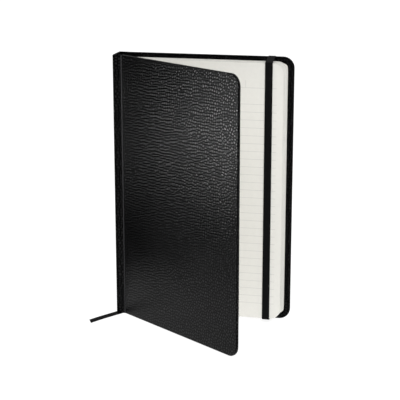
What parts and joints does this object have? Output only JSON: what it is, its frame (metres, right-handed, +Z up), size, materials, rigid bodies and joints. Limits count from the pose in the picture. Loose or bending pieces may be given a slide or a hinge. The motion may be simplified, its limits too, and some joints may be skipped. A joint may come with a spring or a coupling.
{
  "type": "hardcover notebook",
  "caption": "Ruled hardcover notebook standing with its front cover part open: leatherette case, sewn signatures, elastic closure strap and ribbon marker.",
  "frame": {"origin": "middle of the back cover's foot, on the table: half way across the back cover and half way through it", "axes": "+X from the spine to the fore edge, +Y out through the back cover, +Z up from foot to head; the front cover opens towards -Y"},
  "size_m": [0.1636, 0.1002, 0.2181],
  "materials": {
    "leatherette": "glossy pebble-grain bookbinding leatherette, black",
    "binders_board": "grey millboard",
    "endpaper": "smooth ivory endpaper",
    "book_paper": "uncoated ivory writing paper",
    "kraft_paper": "kraft spine liner",
    "mull_cloth": "open gauze, glued",
    "band_cloth": "woven cotton band, white",
    "sewing_thread": "linen thread",
    "ribbon": "woven satin ribbon, black",
    "elastic": "flat woven elastic, black"
  },
  "bodies": {
    "book": {"back_cover_leatherette": "leatherette", "back_board": "binders_board", "back_pastedown": "endpaper", "back_flyleaf": "endpaper", "signature_1": "book_paper", "signature_2": "book_paper", "signature_3": "book_paper", "signature_4": "book_paper", "signature_5": "book_paper", "signature_6": "book_paper", "signature_7": "book_paper", "signature_8": "book_paper", "spine_leatherette": "leatherette", "spine_card": "binders_board", "mull": "mull_cloth", "spine_liner": "kraft_paper", "headband": "band_cloth", "tailband": "band_cloth", "sewing_thread": "sewing_thread", "marker_ribbon": "ribbon", "marker_ribbon_tail": "ribbon", "elastic_foot_leg": "elastic", "elastic_head_leg": "elastic", "elastic_foot_tab": "elastic", "elastic_head_tab": "elastic"},
    "front_cover": {"front_cover_leatherette": "leatherette", "front_board": "binders_board", "front_pastedown": "endpaper"},
    "front_leaf": {"front_flyleaf": "endpaper"},
    "strap": {"elastic_strap": "elastic"}
  },
  "joints": [
    {"name": "cover_hinge", "type": "hinge", "parent": "book", "child": "front_cover", "pos_m": [-0.0684, -0.0178, 0.1087], "axis": [0, 0, -1], "range_deg": [-36.1, 143.9]},
    {"name": "leaf_hinge", "type": "hinge", "parent": "book", "child": "front_leaf", "pos_m": [-0.0684, -0.0178, 0.1087], "axis": [0, 0, -1], "range_deg": [-35.02, 139.6]},
    {"name": "strap_slide", "type": "slide", "parent": "book", "child": "strap", "axis": [1, 0, 0], "range_m": [0, 0.022], "stiffness_N_per_m": 40, "deforming": ["elastic_head_leg", "elastic_foot_leg"]}
  ],
  "couplings": [
    {"joint": "leaf_hinge", "follows": "cover_hinge", "ratio": 0.97}
  ]
}
